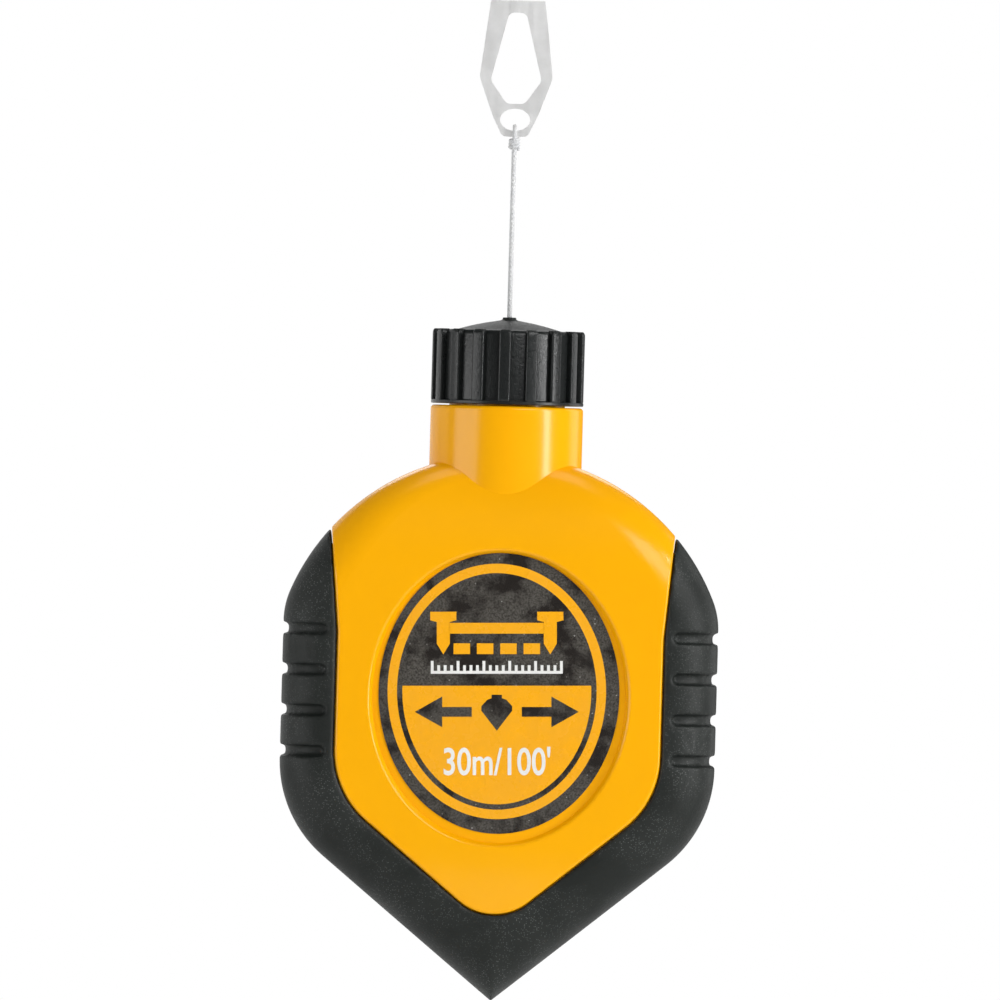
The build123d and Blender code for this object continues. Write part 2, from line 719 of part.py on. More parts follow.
def hook():
    """The stamped hook: an arrow-shaped window, an eye for the line and a claw bent back at the top."""
    half = [
        (HOOK_LOW_HALF_W, HOOK_LOW),
        (HOOK_WAIST_HALF_W, HOOK_WAIST_HEIGHT),
        (HOOK_WIDE_HALF_W, HOOK_WIDE_HEIGHT),
        (HOOK_TOP_HALF_W, HOOK_TOP),
    ]
    plate = make_face(Polyline(*half, *[(-x, z) for x, z in reversed(half)], close=True))
    plate = fillet(corner_points(plate, HOOK_WIDE_HALF_W, HOOK_WIDE_HEIGHT), HOOK_WIDE_R)
    plate = fillet(corner_points(plate, HOOK_WAIST_HALF_W, HOOK_WAIST_HEIGHT), HOOK_WAIST_R)
    plate = fillet(corner_points(plate, HOOK_LOW_HALF_W, HOOK_LOW), HOOK_LOW_R)
    sheet = extrude(Plane.XZ * (plate - hook_window() - hook_eye()), amount=HOOK_T / 2, both=True)
    claw = Pos(0, (CLAW_LEN - HOOK_T / 2) / 2, HOOK_TOP - HOOK_T / 2) * Box(
        2 * HOOK_TOP_HALF_W, CLAW_LEN + HOOK_T / 2, HOOK_T
    )
    claw = fillet(claw.edges().filter_by(Axis.Z).sort_by(Axis.Y)[-2:], CLAW_R)
    return sheet + claw


def hook_window():
    """The opening that takes a nail: widest low down and narrowing to the top it hangs from."""
    half = [
        (WINDOW_LOW_HALF_W, WINDOW_LOW),
        (WINDOW_HALF_W, WINDOW_WIDE),
        (WINDOW_TOP_HALF_W, HANG_HEIGHT),
    ]
    window = make_face(Polyline(*half, *[(-x, z) for x, z in reversed(half)], close=True))
    window = fillet(corner_points(window, WINDOW_LOW_HALF_W, WINDOW_LOW), WINDOW_R)
    window = fillet(corner_points(window, WINDOW_HALF_W, WINDOW_WIDE), WINDOW_R)
    return fillet(corner_points(window, WINDOW_TOP_HALF_W, HANG_HEIGHT), WINDOW_TOP_R)


def hook_eye():
    """The oval eye that the line's loop passes through."""
    return Pos(0, (EYE_LOW + EYE_TOP) / 2) * Ellipse(EYE_HALF_W, (EYE_TOP - EYE_LOW) / 2)


def write(name, shape):
    """Set the origin at the hook's window and write one node."""
    export_step(Pos(0, 0, -HANG_HEIGHT) * shape, f"parts/{name}.step")


def main():
    os.makedirs("parts", exist_ok=True)
    shells = shell_solid()
    groove = seam_groove()
    write("front_shell", front_shell(shells) - groove)
    write("rear_shell", rear_shell(shells) - groove)
    write("front_grip", grip(-1) - groove)
    write("rear_grip", grip(1) - groove)
    write("front_label", front_label())
    write("casing_screws", casing_screws())
    write("screw_cap", screw_cap())
    write("cap_gasket", ring(GASKET_R, GASKET_INNER_R, SPIGOT_TOP + LINER_GAP, CAP_CEILING))
    write("felt_wiper", ring(FELT_R, FELT_BORE_R, FELT_LOW, FELT_TOP))
    write("wiper_retainer", wiper_retainer())
    write("spool", spool())
    write("line_winding", line_winding())
    write("crank_hub", crank_hub())
    write("crank_screw", crank_screw())
    write("hub_washer", hub_washer())
    write("hub_seal", hub_seal())
    write("fold_pin", fold_pin())
    write("crank_arm", crank_arm())
    write("knob_pin", knob_pin())
    write("crank_knob", crank_knob())
    write("line_inner", line_inner())
    write("line_free", line_free())
    write("line_knot", line_knot())
    write("hook", hook())


main()
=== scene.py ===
"""Dresses a chalk line reel: casing, soft grip, screw cap, printed label, braided line, hook and crank.

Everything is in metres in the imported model's frame: +Z up along the line, the label towards -Y, the crank
at +Y.
"""

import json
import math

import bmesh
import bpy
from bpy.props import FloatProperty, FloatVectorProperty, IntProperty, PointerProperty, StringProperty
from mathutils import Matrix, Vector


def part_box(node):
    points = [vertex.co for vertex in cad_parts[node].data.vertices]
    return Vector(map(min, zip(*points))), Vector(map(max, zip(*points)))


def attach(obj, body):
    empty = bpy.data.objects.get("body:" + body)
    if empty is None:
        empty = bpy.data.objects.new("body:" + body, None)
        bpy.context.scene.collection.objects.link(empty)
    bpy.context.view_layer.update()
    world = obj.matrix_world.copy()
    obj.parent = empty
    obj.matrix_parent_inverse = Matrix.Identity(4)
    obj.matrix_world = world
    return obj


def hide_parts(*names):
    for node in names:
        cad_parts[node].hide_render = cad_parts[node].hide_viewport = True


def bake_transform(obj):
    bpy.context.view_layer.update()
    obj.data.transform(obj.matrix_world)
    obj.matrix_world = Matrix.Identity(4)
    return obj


bl_info = {
    "name": "Chalk Line Reel",
    "version": (1, 0, 0),
    "blender": (4, 5, 0),
    "location": "View3D > Sidebar > Reel",
    "description": "Builds the looks of a chalk line reel round its packed model",
    "category": "Object",
}

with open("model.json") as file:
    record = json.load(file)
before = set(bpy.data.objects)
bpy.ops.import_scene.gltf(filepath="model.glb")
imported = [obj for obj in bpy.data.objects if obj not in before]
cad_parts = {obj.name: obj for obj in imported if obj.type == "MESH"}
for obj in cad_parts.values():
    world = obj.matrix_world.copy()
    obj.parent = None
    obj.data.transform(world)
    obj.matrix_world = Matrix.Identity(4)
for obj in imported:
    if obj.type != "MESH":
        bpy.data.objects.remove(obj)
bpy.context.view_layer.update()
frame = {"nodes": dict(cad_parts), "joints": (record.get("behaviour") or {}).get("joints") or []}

MM = 0.001
CAP_LOW, CAP_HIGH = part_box("screw_cap")
LABEL_LOW, LABEL_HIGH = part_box("front_label")
LINE_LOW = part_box("line_free")[0]
KNOT_LOW, KNOT_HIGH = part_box("line_knot")
WINDING_LOW, WINDING_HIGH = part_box("line_winding")
HINGES = {joint["name"]: Vector(joint["pos_m"]) for joint in frame["joints"] if "pos_m" in joint}


# ---------------------------------------------------------------- settings


def length(name, text, mm):
    """A size of the object, kept in metres and given here in millimetres."""
    return FloatProperty(name=name, description=text, default=mm * MM, precision=5, unit="LENGTH")


def angle(name, text, degrees):
    """An angle, kept in radians and given here in degrees."""
    return FloatProperty(name=name, description=text, default=math.radians(degrees), unit="ROTATION")


def colour(name, text, rgb):
    """A linear colour."""
    return FloatVectorProperty(name=name, description=text, default=rgb, subtype="COLOR", min=0.0, max=1.0)


class CasingSettings(bpy.types.PropertyGroup):
    amber: colour("Casing", "Colour of the moulded casing", (0.90, 0.405, 0.0))
    rubber: colour("Grip", "Colour of the rubber grip band", (0.0072, 0.0094, 0.0078))
    dust: colour("Dust", "Colour of the chalk dust on the rubber", (0.085, 0.092, 0.088))
    softness: length("Grip softness", "Size of the voxels that round the grip's edges", 0.36)


class CapSettings(bpy.types.PropertyGroup):
    ribs: IntProperty(name="Ribs", description="Number of grip ribs round the cap", default=17, min=3)
    rib_width: length("Rib width", "Width of one rib", 2.1)
    rib_depth: length("Rib depth", "How far a rib stands out of the groove floor", 1.0)
    rib_corner: length("Rib corner", "Radius of a rib's rounded corners", 0.32)
    flange: length("Flange", "Height of the plain ring under the ribs", 0.65)
    turn: angle("Turn", "Place of the front rib round the cap", -2.8)
    plastic: colour("Plastic", "Colour of the black plastic", (0.0075, 0.0090, 0.0088))


class LabelSettings(bpy.types.PropertyGroup):
    ring_width: length("Ring width", "Width of the amber ring", 1.66)
    film: length("Film", "Thickness of one printed layer", 0.03)
    tilt: angle("Tilt", "Turn of the print on the casing", 1.6)
    length_mark: StringProperty(
        name="Length mark", description="Generic length of the wound line", default="30m/100'"
    )
    ink: colour("Black", "Colour of the black print", (0.013, 0.010, 0.008))
    amber: colour("Amber", "Colour of the amber print", (0.90, 0.400, 0.001))
    white: colour("White", "Colour of the white print", (0.80, 0.80, 0.78))


class LineSettings(bpy.types.PropertyGroup):
    diameter: length("Diameter", "Diameter of the braided line", 0.9)
    braid_pitch: length("Braid pitch", "Length of one turn of the braid", 3.4)
    strands: IntProperty(name="Strands", description="Strands each way in the braid", default=4, min=2)
    fibre: colour("Fibre", "Colour of the line", (0.74, 0.74, 0.72))
    steel: colour("Steel", "Colour of the hook's steel", (0.86, 0.86, 0.85))


class StageSettings(bpy.types.PropertyGroup):
    distance: length("Distance", "Distance of the camera from the object", 4000.0)
    view_height: length("View height", "Height of the view's middle above the casing's tip", 88.25)
    view_across: length("View across", "The view's middle to the right of the line", -0.78)
    view_width: length("View width", "Width that the picture covers at the object", 176.4)
    roll: angle("Roll", "Turn of the camera about its own axis", 1.6)
    floor_drop: length("Floor drop", "Gap between the casing's tip and the floor", 40.0)
    floor_radius: length("Floor radius", "Radius of the floor", 680.0)


# ---------------------------------------------------------------- meshes


def add_object(name, mesh):
    """A new object with this mesh, linked at the origin."""
    obj = bpy.data.objects.new(name, mesh)
    bpy.context.scene.collection.objects.link(obj)
    return obj


def mesh_object(name, vertices, faces):
    """A smooth-shaded object from points and faces, with its faces pointing outwards."""
    mesh = bpy.data.meshes.new(name)
    mesh.from_pydata([tuple(v) for v in vertices], [], faces)
    work = bmesh.new()
    work.from_mesh(mesh)
    bmesh.ops.remove_doubles(work, verts=work.verts, dist=1e-8)
    bmesh.ops.recalc_face_normals(work, faces=work.faces)
    work.to_mesh(mesh)
    work.free()
    mesh.shade_smooth()
    return add_object(name, mesh)


def sharpen(obj, degrees=35.0):
    """Keep edges over this angle crisp."""
    obj.data.set_sharp_from_angle(angle=math.radians(degrees))
    return obj


def lathe(name, profile, base, steps=204):
    """A ring turned about the line's axis from a closed profile of (radius, height above base) in mm."""
    vertices = []
    faces = []
    count = len(profile)
    for i in range(steps):
        turn = 2 * math.pi * i / steps
        for radius, height in profile:
            vertices.append((radius * MM * math.cos(turn), radius * MM * math.sin(turn), base + height * MM))
    for i in range(steps):
        here = i * count
        there = ((i + 1) % steps) * count
        for k in range(count):
            nxt = (k + 1) % count
            faces.append((here + k, there + k, there + nxt, here + nxt))
    return sharpen(mesh_object(name, vertices, faces))


def path_frames(points):
    """Each point of a path with two steady side directions."""
    frames = []
    side = None
    for i, point in enumerate(points):
        tangent = (points[min(i + 1, len(points) - 1)] - points[max(i - 1, 0)]).normalized()
        if side is None:
            side = tangent.orthogonal().normalized()
        side = (side - tangent * side.dot(tangent)).normalized()
        frames.append((point, side, tangent.cross(side)))
    return frames


def evenly(points, step):
    """The path again with points about `step` apart."""
    result = [points[0].copy()]
    for start, end in zip(points, points[1:]):
        parts = max(1, round((end - start).length / step))
        result += [start.lerp(end, (k + 1) / parts) for k in range(parts)]
    return result


BRAID_LOW = 0.79  # the line's radius between its strands, as a share of its radius over them


def braided_tube(name, points, radius, pitch, strands, sides=20):
    """A line along points whose surface carries two sets of crossing strands."""
    frames = path_frames(points)
    vertices = []
    faces = []
    along = 0.0
    for i, (point, side, up) in enumerate(frames):
        if i:
            along += (point - frames[i - 1][0]).length
        wind = 2 * math.pi * along / pitch
        for k in range(sides):
            turn = 2 * math.pi * k / sides
            over = math.sin(strands * turn + wind * strands)
            under = math.sin(strands * turn - wind * strands)
            bulge = radius * (BRAID_LOW + (1 - BRAID_LOW) * max(over, under))
            vertices.append(point + bulge * (math.cos(turn) * side + math.sin(turn) * up))
    for i in range(len(frames) - 1):
        for k in range(sides):
            nxt = (k + 1) % sides
            here = i * sides
            faces.append((here + k, here + nxt, here + sides + nxt, here + sides + k))
    faces.append(tuple(range(sides)))
    faces.append(tuple(range(len(vertices) - sides, len(vertices))))
    return mesh_object(name, vertices, faces)


def softened(name, node, voxel, rounds):
    """A CAD node's shape as one skin with its edges rounded off by remeshing and smoothing."""
    mesh = frame["nodes"][node].data.copy()
    mesh.name = name
    mesh.materials.clear()
    work = bmesh.new()
    work.from_mesh(mesh)
    bmesh.ops.remove_doubles(work, verts=work.verts, dist=1e-6)
    work.to_mesh(mesh)
    work.free()
    obj = add_object(name, mesh)
    remesh = obj.modifiers.new("Remesh", "REMESH")
    remesh.mode = "VOXEL"
    remesh.voxel_size = voxel
    remesh.use_smooth_shade = True
    smooth = obj.modifiers.new("Smooth", "SMOOTH")
    smooth.factor = 0.5
    smooth.iterations = rounds
    return frozen(obj)


def frozen(obj):
    """The object with its modifiers worked into its mesh."""
    graph = bpy.context.evaluated_depsgraph_get()
    mesh = bpy.data.meshes.new_from_object(obj.evaluated_get(graph), depsgraph=graph)
    obj.modifiers.clear()
    old = obj.data
    obj.data = mesh
    bpy.data.meshes.remove(old)
    mesh.name = obj.name
    return obj


# ---------------------------------------------------------------- geometry nodes


def new_tree(name, inputs):
    """An empty Geometry Nodes tree with these inputs: (name, socket type, default)."""
    tree = bpy.data.node_groups.new(name, "GeometryNodeTree")
    tree.interface.new_socket("Geometry", in_out="OUTPUT", socket_type="NodeSocketGeometry")
    for socket_name, kind, default in inputs:
        socket = tree.interface.new_socket(socket_name, in_out="INPUT", socket_type=kind)
        if default is not None:
            socket.default_value = default
    return tree


def add_node(tree, kind, settings=None, **values):
    """A node with its settings, and its inputs set by name; an input may be another node's output."""
    node = tree.nodes.new(kind)
    for key, value in (settings or {}).items():
        setattr(node, key, value)
    for key, value in values.items():
        put(tree, node, key.replace("_", " "), value)
    return node


def put(tree, node, key, value):
    """Set or link one input of a node, found by its name or its number."""
    socket = node.inputs[key]
    if isinstance(value, bpy.types.NodeSocket):
        tree.links.new(value, socket)
    else:
        socket.default_value = value


def from_tree(name, tree, values):
    """What a Geometry Nodes tree makes with these inputs, as a plain mesh object."""
    obj = add_object(name, bpy.data.meshes.new(name))
    modifier = obj.modifiers.new("Nodes", "NODES")
    modifier.node_group = tree
    for item in tree.interface.items_tree:
        if item.item_type == "SOCKET" and item.in_out == "INPUT" and item.name in values:
            modifier[item.identifier] = values[item.name]
    return frozen(obj)


def ribs_tree():
    """Upright rounded ribs in a ring about the Z axis, each one drawn in at its foot and its top."""
    tree = new_tree(
        "Ribs round an axis",
        [
            ("Count", "NodeSocketInt", 17),
            ("Radius", "NodeSocketFloat", 12.4 * MM),
            ("Width", "NodeSocketFloat", 2.0 * MM),
            ("Depth", "NodeSocketFloat", 2.0 * MM),
            ("Height", "NodeSocketFloat", 12.0 * MM),
            ("Corner", "NodeSocketFloat", 0.3 * MM),
            ("Turn", "NodeSocketFloat", 0.0),
            ("Base", "NodeSocketFloat", 0.0),
            ("Material", "NodeSocketMaterial", None),
        ],
    )
    given = tree.nodes.new("NodeGroupInput").outputs
    shape = add_node(tree, "GeometryNodeCurvePrimitiveQuadrilateral", {"mode": "RECTANGLE"})
    put(tree, shape, "Width", given["Depth"])
    put(tree, shape, "Height", given["Width"])
    corners = add_node(tree, "GeometryNodeFilletCurve", {"mode": "POLY"}, Curve=shape.outputs[0], Count=4)
    put(tree, corners, "Radius", given["Corner"])
    top = add_node(tree, "ShaderNodeCombineXYZ", Z=given["Height"])
    upright = add_node(tree, "GeometryNodeCurvePrimitiveLine", End=top.outputs[0])
    divided = add_node(tree, "GeometryNodeResampleCurve", Curve=upright.outputs[0], Count=40)
    along = add_node(tree, "GeometryNodeSplineParameter")
    taper = add_node(tree, "ShaderNodeFloatCurve", Value=along.outputs["Factor"])
    points = taper.mapping.curves[0].points
    points[0].location = (0.0, 0.90)
    points[1].location = (1.0, 0.70)
    for height, width in ((0.02, 1.0), (0.945, 1.0), (0.975, 0.93), (0.99, 0.83)):
        points.new(height, width)
    taper.mapping.update()
    sized = add_node(tree, "GeometryNodeSetCurveRadius", Curve=divided.outputs[0], Radius=taper.outputs[0])
    solid = tree.nodes.new("GeometryNodeCurveToMesh")
    put(tree, solid, "Curve", sized.outputs[0])
    put(tree, solid, "Profile Curve", corners.outputs[0])
    put(tree, solid, "Fill Caps", True)
    put(tree, solid, "Scale", taper.outputs[0])
    ring = add_node(tree, "GeometryNodeMeshCircle", Vertices=given["Count"], Radius=given["Radius"])
    place = tree.nodes.new("GeometryNodeInputPosition")
    facing = add_node(tree, "FunctionNodeAlignRotationToVector", {"axis": "X", "pivot_axis": "Z"})
    put(tree, facing, "Vector", place.outputs[0])
    copies = add_node(tree, "GeometryNodeInstanceOnPoints", Points=ring.outputs[0], Instance=solid.outputs[0])
    put(tree, copies, "Rotation", facing.outputs[0])
    lift = add_node(tree, "ShaderNodeCombineXYZ", Z=given["Base"])
    spin = add_node(tree, "ShaderNodeCombineXYZ", Z=given["Turn"])
    moved = add_node(tree, "GeometryNodeTransform", Geometry=copies.outputs[0], Translation=lift.outputs[0])
    put(tree, moved, "Rotation", spin.outputs[0])
    finish_tree(tree, moved.outputs[0], given["Material"])
    return tree


def winding_tree():
    """A line wound side by side round the Y axis."""
    tree = new_tree(
        "Wound line",
        [
            ("Turns", "NodeSocketFloat", 14.0),
            ("Radius", "NodeSocketFloat", 20.0 * MM),
            ("Width", "NodeSocketFloat", 13.0 * MM),
            ("Line Radius", "NodeSocketFloat", 0.45 * MM),
            ("Centre", "NodeSocketVector", None),
            ("Material", "NodeSocketMaterial", None),
        ],
    )
    given = tree.nodes.new("NodeGroupInput").outputs
    coil = tree.nodes.new("GeometryNodeCurveSpiral")
    put(tree, coil, "Resolution", 72)
    put(tree, coil, "Rotations", given["Turns"])
    put(tree, coil, "Start Radius", given["Radius"])
    put(tree, coil, "End Radius", given["Radius"])
    put(tree, coil, "Height", given["Width"])
    section = add_node(tree, "GeometryNodeCurvePrimitiveCircle", {"mode": "RADIUS"}, Resolution=8)
    put(tree, section, "Radius", given["Line Radius"])
    solid = tree.nodes.new("GeometryNodeCurveToMesh")
    put(tree, solid, "Curve", coil.outputs[0])
    put(tree, solid, "Profile Curve", section.outputs[0])
    put(tree, solid, "Fill Caps", True)
    lying = add_node(tree, "GeometryNodeTransform", Geometry=solid.outputs[0], Rotation=(-math.pi / 2, 0, 0))
    put(tree, lying, "Translation", given["Centre"])
    finish_tree(tree, lying.outputs[0], given["Material"])
    return tree


def finish_tree(tree, geometry, material):
    """End a tree in real, smooth geometry with its material."""
    real = add_node(tree, "GeometryNodeRealizeInstances", Geometry=geometry)
    smooth = add_node(tree, "GeometryNodeSetShadeSmooth", Geometry=real.outputs[0])
    coated = add_node(tree, "GeometryNodeSetMaterial", Geometry=smooth.outputs[0], Material=material)
    tree.links.new(coated.outputs[0], tree.nodes.new("NodeGroupOutput").inputs[0])


# ---------------------------------------------------------------- shared shader effects


def shader_group(name, inputs, outputs):
    """An empty shader node group with named float sockets."""
    group = bpy.data.node_groups.new(name, "ShaderNodeTree")
    for socket_name, default in inputs:
        socket = group.interface.new_socket(socket_name, in_out="INPUT", socket_type="NodeSocketFloat")
        socket.default_value = default
    for socket_name in outputs:
        group.interface.new_socket(socket_name, in_out="OUTPUT", socket_type="NodeSocketFloat")
    return group


def close_group(group, **results):
    """Link a group's results to its outputs."""
    end = group.nodes.new("NodeGroupOutput")
    for key, socket in results.items():
        group.links.new(socket, end.inputs[key])
    return group


def grain_group():
    """Moulding grain: a fine even texture with a broad, slow variation over it."""
    group = shader_group("Moulding grain", [("Scale", 2500.0), ("Broad Scale", 60.0)], ["Height", "Broad"])
    given = group.nodes.new("NodeGroupInput").outputs
    place = group.nodes.new("ShaderNodeTexCoord").outputs["Object"]
    fine = add_node(group, "ShaderNodeTexNoise", Vector=place, Detail=3.0, Roughness=0.6)
    put(group, fine, "Scale", given["Scale"])
    broad = add_node(group, "ShaderNodeTexNoise", Vector=place, Detail=4.0, Roughness=0.55)
    put(group, broad, "Scale", given["Broad Scale"])
    return close_group(group, Height=fine.outputs[0], Broad=broad.outputs[0])


def speck_group():
    """Scattered specks in uneven drifts: chalk dust on the rubber, and painted glints and glare patches on
    the label's print.
    """
    inputs = [("Scale", 900.0), ("Size", 0.16), ("Share", 0.38)]
    inputs += [("Drift Scale", 90.0), ("Drift Low", 0.40), ("Drift High", 0.66), ("Drift Detail", 3.0)]
    group = shader_group("Dust specks and painted glare", inputs, ["Mask", "Drift"])
    given = group.nodes.new("NodeGroupInput").outputs
    place = group.nodes.new("ShaderNodeTexCoord").outputs["Object"]
    cells = add_node(group, "ShaderNodeTexVoronoi", Vector=place, Scale=given["Scale"], Randomness=1.0)
    near = add_node(group, "ShaderNodeMath", {"operation": "LESS_THAN"})
    put(group, near, 0, cells.outputs["Distance"])
    put(group, near, 1, given["Size"])
    pick = add_node(group, "ShaderNodeSeparateColor", Color=cells.outputs["Color"])
    some = add_node(group, "ShaderNodeMath", {"operation": "LESS_THAN"})
    put(group, some, 0, pick.outputs[0])
    put(group, some, 1, given["Share"])
    drift = add_node(group, "ShaderNodeTexNoise", Vector=place, Scale=given["Drift Scale"], Roughness=0.6)
    put(group, drift, "Detail", given["Drift Detail"])
    where = add_node(group, "ShaderNodeMapRange", Value=drift.outputs[0])
    put(group, where, "From Min", given["Drift Low"])
    put(group, where, "From Max", given["Drift High"])
    both = add_node(group, "ShaderNodeMath", {"operation": "MULTIPLY"})
    put(group, both, 0, near.outputs[0])
    put(group, both, 1, some.outputs[0])
    shown = add_node(group, "ShaderNodeMath", {"operation": "MULTIPLY"})
    put(group, shown, 0, both.outputs[0])
    put(group, shown, 1, where.outputs[0])
    return close_group(group, Mask=shown.outputs[0], Drift=where.outputs[0])


GROUP_MAKERS = {"grain": grain_group, "specks": speck_group}
made_groups = {}


def shared(tree, kind, **values):
    """Place one of the shared effects in a material, with its own values."""
    if kind not in made_groups:
        made_groups[kind] = GROUP_MAKERS[kind]()
    node = tree.nodes.new("ShaderNodeGroup")
    node.node_tree = made_groups[kind]
    for key, value in values.items():
        put(tree, node, key.replace("_", " "), value)
    return node.outputs


# ---------------------------------------------------------------- materials


def new_material(name, roughness, **sockets):
    """A material with a Principled shader whose constants sit on its own sockets."""
    material = bpy.data.materials.new(name)
    material.use_nodes = True
    shader = material.node_tree.nodes["Principled BSDF"]
    shader.inputs["Roughness"].default_value = roughness
    for key, value in sockets.items():
        shader.inputs[key.replace("_", " ")].default_value = value
    return material, material.node_tree, shader


def blend_colours(tree, factor, first, second):
    """A mix of two colours by a mask."""
    mix = tree.nodes.new("ShaderNodeMix")
    mix.data_type = "RGBA"
    put(tree, mix, 0, factor)
    for key, value in ((6, first), (7, second)):
        put(tree, mix, key, value if isinstance(value, bpy.types.NodeSocket) else (*value, 1.0))
    return mix.outputs[2]


def spread_value(tree, value, low, high, start=0.0, end=1.0):
    """A value that goes from `start` to `end`, spread between two others."""
    spread = add_node(tree, "ShaderNodeMapRange", Value=value)
    put(tree, spread, "From Min", start)
    put(tree, spread, "From Max", end)
    put(tree, spread, "To Min", low)
    put(tree, spread, "To Max", high)
    return spread.outputs[0]


def bump(tree, shader, height, distance, strength=1.0):
    """Raise the surface by a height map, in metres."""
    node = add_node(tree, "ShaderNodeBump", Height=height, Distance=distance, Strength=strength)
    tree.links.new(node.outputs[0], shader.inputs["Normal"])


def tones(rgb, change):
    """A colour made lighter or darker by a share."""
    return tuple(min(1.0, channel * (1 + change)) for channel in rgb)


def glossy_casing(rgb):
    """Moulded plastic with a deep gloss and the faintest orange peel."""
    coat_of_gloss = {"Coat_Weight": 0.58, "Coat_Roughness": 0.21}
    material, tree, shader = new_material("casing_amber", 0.24, Specular_IOR_Level=0.0, **coat_of_gloss)
    grain = shared(tree, "grain", Scale=700.0, Broad_Scale=38.0)
    put(tree, shader, "Base Color", blend_colours(tree, grain["Broad"], tones(rgb, -0.05), tones(rgb, 0.05)))
    put(tree, shader, "Roughness", spread_value(tree, grain["Broad"], 0.22, 0.34))
    bump(tree, shader, grain["Height"], 0.012 * MM)
    return material


def soft_rubber(rgb, dust):
    """Soft-touch rubber with a moulded grain, chalk specks and a bloom of chalk dust."""
    material, tree, shader = new_material("grip_rubber", 0.55, Specular_IOR_Level=0.28)
    grain = shared(tree, "grain", Scale=2100.0, Broad_Scale=70.0)
    specks = shared(tree, "specks", Scale=3600.0, Size=0.34, Drift_Scale=75.0)
    bloom = spread_value(tree, specks["Drift"], 0.0, 0.12)
    base = blend_colours(tree, bloom, rgb, dust)
    put(tree, shader, "Base Color", blend_colours(tree, specks["Mask"], base, dust))
    put(tree, shader, "Roughness", spread_value(tree, grain["Broad"], 0.42, 0.62))
    bump(tree, shader, grain["Height"], 0.05 * MM)
    return material


def satin_plastic(name, rgb, low, high, grain_mm):
    """Moulded plastic with a spark-eroded grain."""
    material, tree, shader = new_material(name, low, Specular_IOR_Level=0.38)
    grain = shared(tree, "grain", Scale=1900.0, Broad_Scale=90.0)
    put(tree, shader, "Base Color", blend_colours(tree, grain["Broad"], tones(rgb, -0.15), tones(rgb, 0.25)))
    put(tree, shader, "Roughness", spread_value(tree, grain["Height"], low, high))
    bump(tree, shader, grain["Height"], grain_mm * MM)
    return material


GLARE_TINT = (0.17, 0.16, 0.14)  # painted glare: the tint of the lighter ragged patches on the label's print
# painted glints: the tint of the few light specks on the label's print
GLINT_TINT = (0.30, 0.29, 0.27)


def printed_film(name, rgb, roughness, glare):
    """Glossy printed film with slight ink unevenness, ragged patches of painted glare and a few specks of
    painted glint.
    """
    material, tree, shader = new_material(name, roughness, Coat_Weight=0.4, Coat_Roughness=0.08)
    grain = shared(tree, "grain", Scale=2900.0, Broad_Scale=260.0)
    glare_masks = shared(
        tree,
        "specks",
        Scale=1700.0,
        Size=0.22,
        Share=0.05,
        Drift_Scale=135.0,
        Drift_Low=0.42,
        Drift_High=0.53,
        Drift_Detail=9.0,
    )
    ink = blend_colours(tree, grain["Height"], tones(rgb, -0.10), tones(rgb, 0.10))
    speckle = spread_value(tree, grain["Height"], glare * 0.4, glare * 1.6, 0.36, 0.64)
    # Painted glare and glints: the ink is lightened in ragged patches and a few specks, most on the black
    # print.
    with_glare = blend_colours(tree, glare_masks["Drift"], ink, blend_colours(tree, speckle, ink, GLARE_TINT))
    specks = spread_value(tree, glare_masks["Mask"], 0.0, min(1.0, glare * 3))
    put(tree, shader, "Base Color", blend_colours(tree, specks, with_glare, GLINT_TINT))
    put(tree, shader, "Roughness", spread_value(tree, grain["Broad"], roughness * 0.8, roughness * 1.5))
    bump(tree, shader, grain["Broad"], 0.05 * MM)
    return material


def plated_steel(name, rgb, roughness, along, metallic):
    """Plated and tumbled steel: fine scratches one way, with soft cloudy patches."""
    material, tree, shader = new_material(name, roughness, Metallic=metallic)
    place = tree.nodes.new("ShaderNodeTexCoord").outputs["Object"]
    stretched = add_node(tree, "ShaderNodeMapping", Vector=place, Scale=along)
    scratches = add_node(tree, "ShaderNodeTexNoise", Scale=1.0, Detail=4.0, Roughness=0.7)
    put(tree, scratches, "Vector", stretched.outputs[0])
    grain = shared(tree, "grain", Scale=900.0, Broad_Scale=240.0)
    put(tree, shader, "Base Color", blend_colours(tree, grain["Broad"], tones(rgb, -0.18), tones(rgb, 0.2)))
    put(tree, shader, "Roughness", spread_value(tree, scratches.outputs[0], roughness * 0.7, roughness * 1.4))
    bump(tree, shader, scratches.outputs[0], 0.02 * MM)
    return material


def woven_fibre(name, rgb, dust):
    """White fibre with a little chalk worked into it."""
    material, tree, shader = new_material(name, 0.85, Sheen_Weight=0.25, Sheen_Roughness=0.5)
    grain = shared(tree, "grain", Scale=5200.0, Broad_Scale=420.0)
    put(tree, shader, "Base Color", blend_colours(tree, grain["Broad"], dust, rgb))
    bump(tree, shader, grain["Height"], 0.06 * MM)
    return material


made_materials = {}


